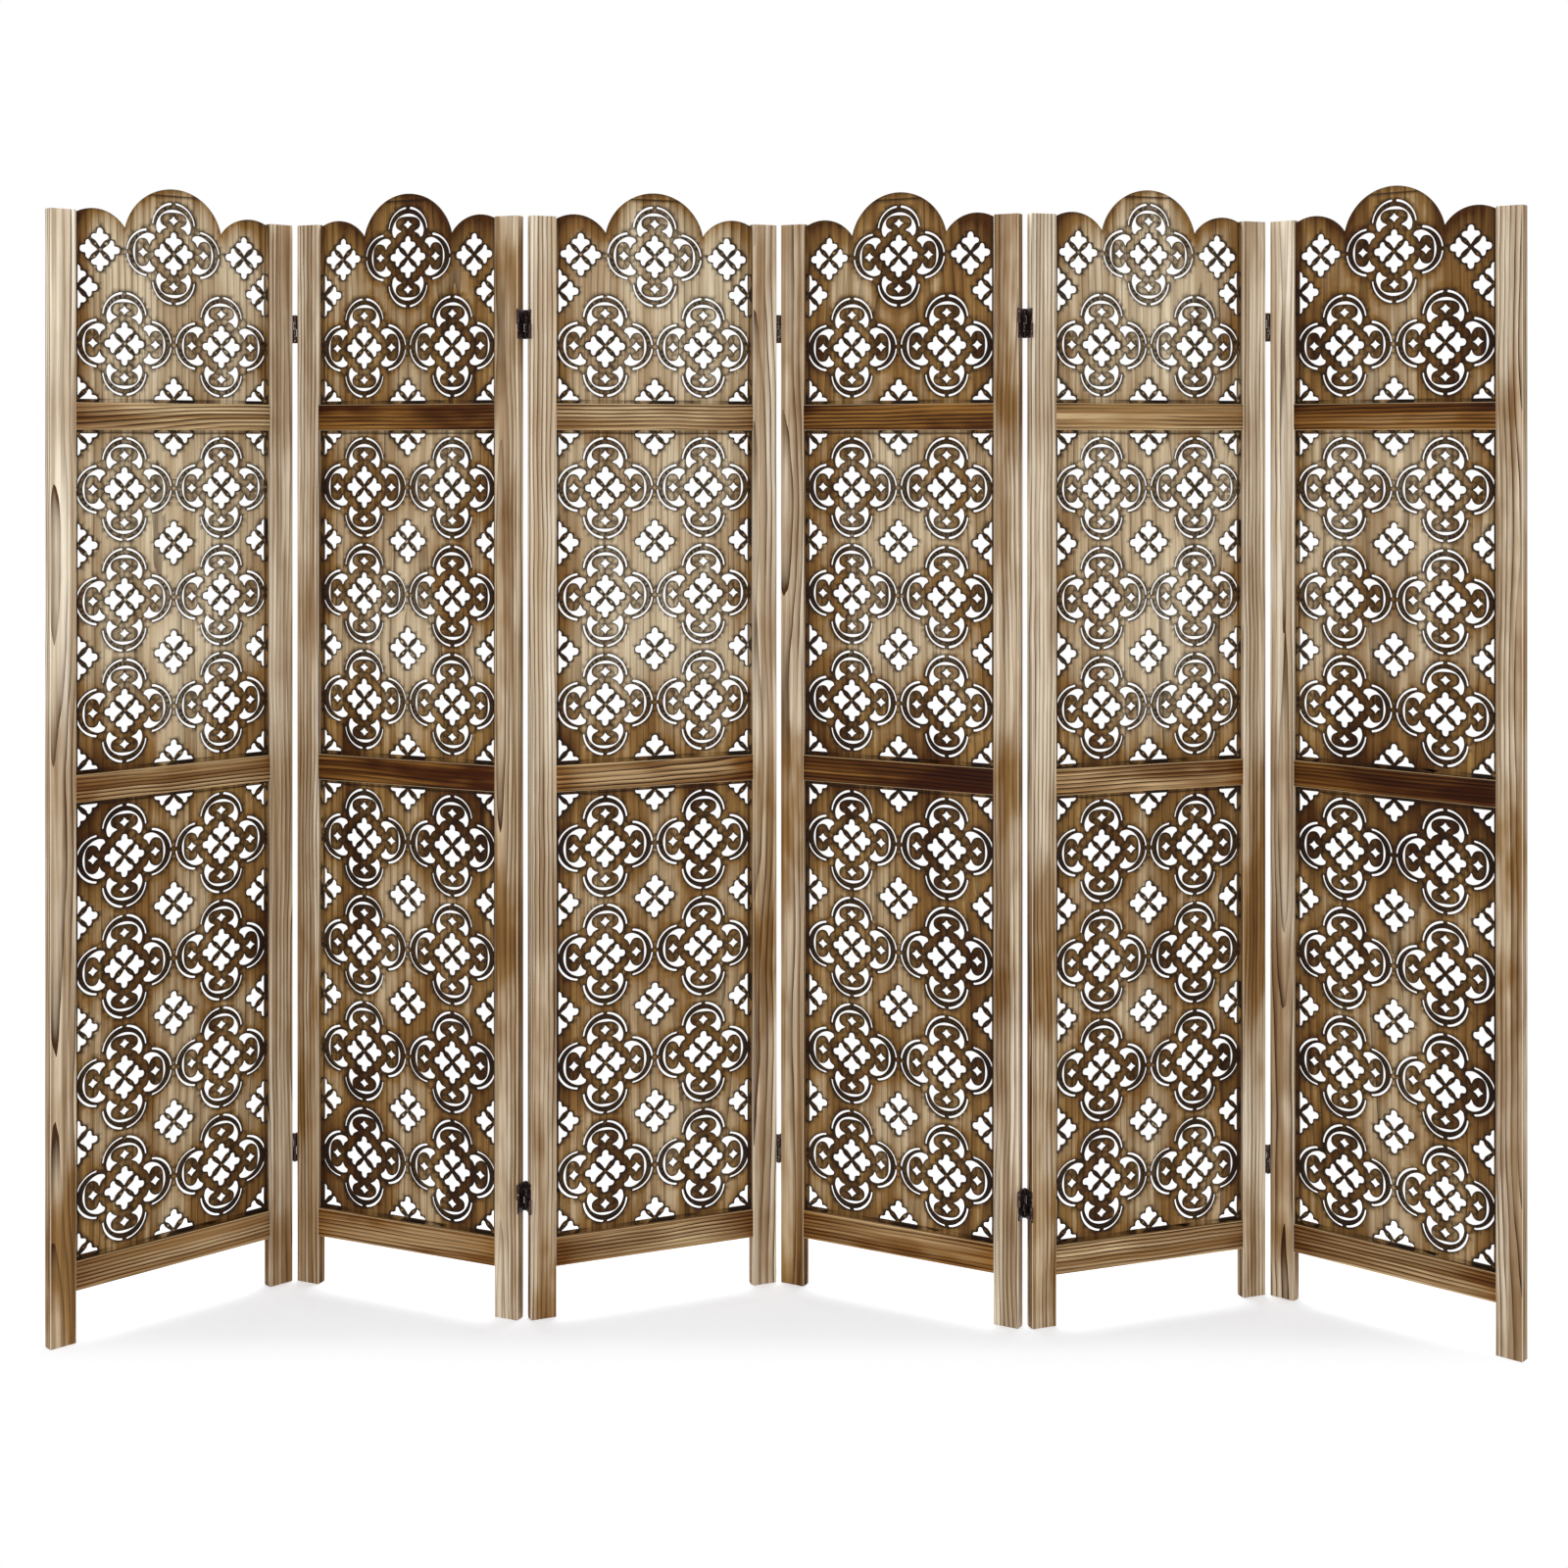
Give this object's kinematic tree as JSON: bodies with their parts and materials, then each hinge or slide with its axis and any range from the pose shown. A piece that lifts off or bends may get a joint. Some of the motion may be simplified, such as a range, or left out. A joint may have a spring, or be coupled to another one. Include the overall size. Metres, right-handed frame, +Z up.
{
  "type": "folding screen",
  "caption": "Freestanding wooden folding screen: framed leaves with pierced fretwork panels and arched crests, joined edge to edge by two-way hinges.",
  "frame": {"origin": "on the floor, at the middle of the rectangle that the half-folded screen covers", "axes": "+X to the right along the screen's length as seen from its front, +Y towards its back, +Z up"},
  "size_m": [2.1452, 0.3392, 1.7],
  "materials": {
    "stile_wood": "brushed, greyish brown with pale edges",
    "rail_wood": "torched and brushed, golden brown with dark grain lines",
    "panel_wood": "torched and brushed, with burnt edges at the cut-outs",
    "hinge_bronze": "dark bronze"
  },
  "bodies": {
    "leaf_1": {"leaf_1_left_stile": "stile_wood", "leaf_1_right_stile": "stile_wood", "leaf_1_bottom_rail": "rail_wood", "leaf_1_middle_rail": "rail_wood", "leaf_1_upper_rail": "rail_wood", "leaf_1_lower_panel": "panel_wood", "leaf_1_middle_panel": "panel_wood", "leaf_1_crest_panel": "panel_wood"},
    "leaf_2": {"leaf_2_left_stile": "stile_wood", "leaf_2_right_stile": "stile_wood", "leaf_2_bottom_rail": "rail_wood", "leaf_2_middle_rail": "rail_wood", "leaf_2_upper_rail": "rail_wood", "leaf_2_lower_panel": "panel_wood", "leaf_2_middle_panel": "panel_wood", "leaf_2_crest_panel": "panel_wood"},
    "leaf_3": {"leaf_3_left_stile": "stile_wood", "leaf_3_right_stile": "stile_wood", "leaf_3_bottom_rail": "rail_wood", "leaf_3_middle_rail": "rail_wood", "leaf_3_upper_rail": "rail_wood", "leaf_3_lower_panel": "panel_wood", "leaf_3_middle_panel": "panel_wood", "leaf_3_crest_panel": "panel_wood"},
    "leaf_4": {"leaf_4_left_stile": "stile_wood", "leaf_4_right_stile": "stile_wood", "leaf_4_bottom_rail": "rail_wood", "leaf_4_middle_rail": "rail_wood", "leaf_4_upper_rail": "rail_wood", "leaf_4_lower_panel": "panel_wood", "leaf_4_middle_panel": "panel_wood", "leaf_4_crest_panel": "panel_wood"},
    "leaf_5": {"leaf_5_left_stile": "stile_wood", "leaf_5_right_stile": "stile_wood", "leaf_5_bottom_rail": "rail_wood", "leaf_5_middle_rail": "rail_wood", "leaf_5_upper_rail": "rail_wood", "leaf_5_lower_panel": "panel_wood", "leaf_5_middle_panel": "panel_wood", "leaf_5_crest_panel": "panel_wood"},
    "leaf_6": {"leaf_6_left_stile": "stile_wood", "leaf_6_right_stile": "stile_wood", "leaf_6_bottom_rail": "rail_wood", "leaf_6_middle_rail": "rail_wood", "leaf_6_upper_rail": "rail_wood", "leaf_6_lower_panel": "panel_wood", "leaf_6_middle_panel": "panel_wood", "leaf_6_crest_panel": "panel_wood"},
    "link_1_2": {"hinge_1_2_upper_link": "hinge_bronze", "hinge_1_2_lower_link": "hinge_bronze"},
    "link_2_3": {"hinge_2_3_upper_link": "hinge_bronze", "hinge_2_3_lower_link": "hinge_bronze"},
    "link_3_4": {"hinge_3_4_upper_link": "hinge_bronze", "hinge_3_4_lower_link": "hinge_bronze"},
    "link_4_5": {"hinge_4_5_upper_link": "hinge_bronze", "hinge_4_5_lower_link": "hinge_bronze"},
    "link_5_6": {"hinge_5_6_upper_link": "hinge_bronze", "hinge_5_6_lower_link": "hinge_bronze"}
  },
  "joints": [
    {"name": "back_pin_1_2", "type": "hinge", "parent": "leaf_2", "child": "link_1_2", "pos_m": [-0.75511, 0.16755, 0.8385], "axis": [0, 0, 1], "range_deg": [-165, 0]},
    {"name": "front_pin_1_2", "type": "hinge", "parent": "link_1_2", "child": "leaf_1", "pos_m": [-0.76446, 0.14654, 0.8385], "axis": [0, 0, 1], "range_deg": [-67, 113]},
    {"name": "back_pin_2_3", "type": "hinge", "parent": "leaf_3", "child": "link_2_3", "pos_m": [-0.38567, 0.00306, 0.8385], "axis": [0, 0, -1], "range_deg": [-47, 133]},
    {"name": "front_pin_2_3", "type": "hinge", "parent": "link_2_3", "child": "leaf_2", "pos_m": [-0.39502, -0.01795, 0.8385], "axis": [0, 0, -1], "range_deg": [-165, 0]},
    {"name": "front_pin_3_4", "type": "hinge", "parent": "leaf_3", "child": "link_3_4", "pos_m": [-0.00443, 0.1399, 0.8385], "axis": [0, 0, -1], "range_deg": [-51, 129]},
    {"name": "back_pin_3_4", "type": "hinge", "parent": "link_3_4", "child": "leaf_4", "pos_m": [0.00637, 0.16021, 0.8385], "axis": [0, 0, -1], "range_deg": [-165, 0]},
    {"name": "front_pin_4_5", "type": "hinge", "parent": "leaf_4", "child": "link_4_5", "pos_m": [0.35264, -0.04995, 0.8385], "axis": [0, 0, 1], "range_deg": [-165, 0]},
    {"name": "back_pin_4_5", "type": "hinge", "parent": "link_4_5", "child": "leaf_5", "pos_m": [0.36343, -0.02964, 0.8385], "axis": [0, 0, 1], "range_deg": [-48, 132]},
    {"name": "front_pin_5_6", "type": "hinge", "parent": "leaf_5", "child": "link_5_6", "pos_m": [0.75131, 0.08706, 0.8385], "axis": [0, 0, -1], "range_deg": [-60, 120]},
    {"name": "back_pin_5_6", "type": "hinge", "parent": "link_5_6", "child": "leaf_6", "pos_m": [0.7661, 0.10468, 0.8385], "axis": [0, 0, -1], "range_deg": [-165, 0]}
  ]
}
